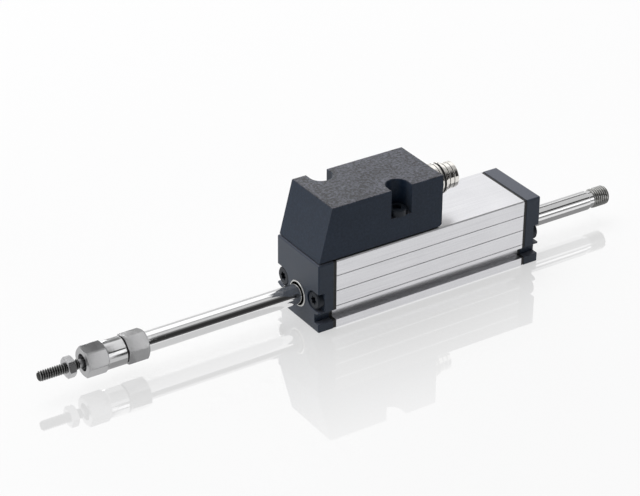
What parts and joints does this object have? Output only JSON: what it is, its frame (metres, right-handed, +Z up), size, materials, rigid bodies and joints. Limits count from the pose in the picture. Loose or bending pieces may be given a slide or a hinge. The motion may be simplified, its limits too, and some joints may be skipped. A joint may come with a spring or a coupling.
{
  "type": "linear potentiometer",
  "caption": "Square linear displacement potentiometer with a through rod, a ball coupling in front and a slanted connector head on top.",
  "frame": {"origin": "middle of the housing's flat base, on the line below the rod", "axes": "+X along the rod towards its rear thread, +Y to the far side, +Z up through the head"},
  "size_m": [0.1944, 0.022, 0.0388],
  "materials": {
    "satin_aluminium": "satin anodised extrusion",
    "black_anodised": "black anodised, matte",
    "black_cast": "black coating with a fine sandy grain",
    "black_rubber": "matte",
    "bush_steel": "bright turned",
    "black_screw": "black oxide",
    "nickel": "nickel plated",
    "ground_steel": "ground and polished",
    "coupling_steel": "turned and milled",
    "stud_steel": "dull grey",
    "spring_steel": "bright",
    "board_laminate": "glass-fibre laminate",
    "carbon_track": "conductive plastic",
    "silver_track": "silver ink",
    "carriage_plastic": "moulded",
    "contact_alloy": "precious-metal spring alloy",
    "wire_sheath": "soft sheath",
    "insert_plastic": "moulded",
    "gold_pin": "gold plated"
  },
  "bodies": {
    "housing": {"housing_profile": "satin_aluminium", "front_flange": "black_anodised", "rear_flange": "black_anodised", "front_gasket": "black_rubber", "rear_gasket": "black_rubber", "front_bush": "bush_steel", "rear_bush": "bush_steel", "front_rod_seal": "black_rubber", "rear_rod_seal": "black_rubber", "front_bumper": "black_rubber", "rear_bumper": "black_rubber", "front_flange_screws": "black_screw", "rear_flange_screws": "black_screw", "connector_head": "black_cast", "head_gasket": "black_rubber", "head_screws": "black_screw", "connector_shell": "nickel", "connector_o_ring": "black_rubber", "connector_nut": "nickel", "connector_insert": "insert_plastic", "connector_pins": "gold_pin", "lead_wires": "wire_sheath", "track_board": "board_laminate", "resistive_track": "carbon_track", "collector_track": "silver_track"},
    "carriage": {"wiper_carriage": "carriage_plastic", "wiper_contacts": "contact_alloy"},
    "rod": {"push_rod": "ground_steel", "rod_retaining_rings": "spring_steel", "coupling_lock_nut": "coupling_steel", "coupling_washer": "black_rubber", "coupling_socket": "coupling_steel", "coupling_springs": "spring_steel"},
    "seat": {"ball_seat": "spring_steel"},
    "stud": {"ball_stud": "stud_steel", "stud_nut": "stud_steel"}
  },
  "joints": [
    {"name": "rod_travel", "type": "slide", "parent": "housing", "child": "carriage", "axis": [1, 0, 0], "range_m": [-0.025, 0.025]},
    {"name": "rod_turn", "type": "hinge", "parent": "carriage", "child": "rod", "pos_m": [0, 0, 0.008], "axis": [1, 0, 0], "continuous": true},
    {"name": "seat_turn", "type": "hinge", "parent": "rod", "child": "seat", "pos_m": [-0.1043, 0, 0.008], "axis": [1, 0, 0], "continuous": true},
    {"name": "stud_tilt", "type": "hinge", "parent": "seat", "child": "stud", "pos_m": [-0.1043, 0, 0.008], "axis": [0, 1, 0], "range_deg": [-12, 12]}
  ]
}
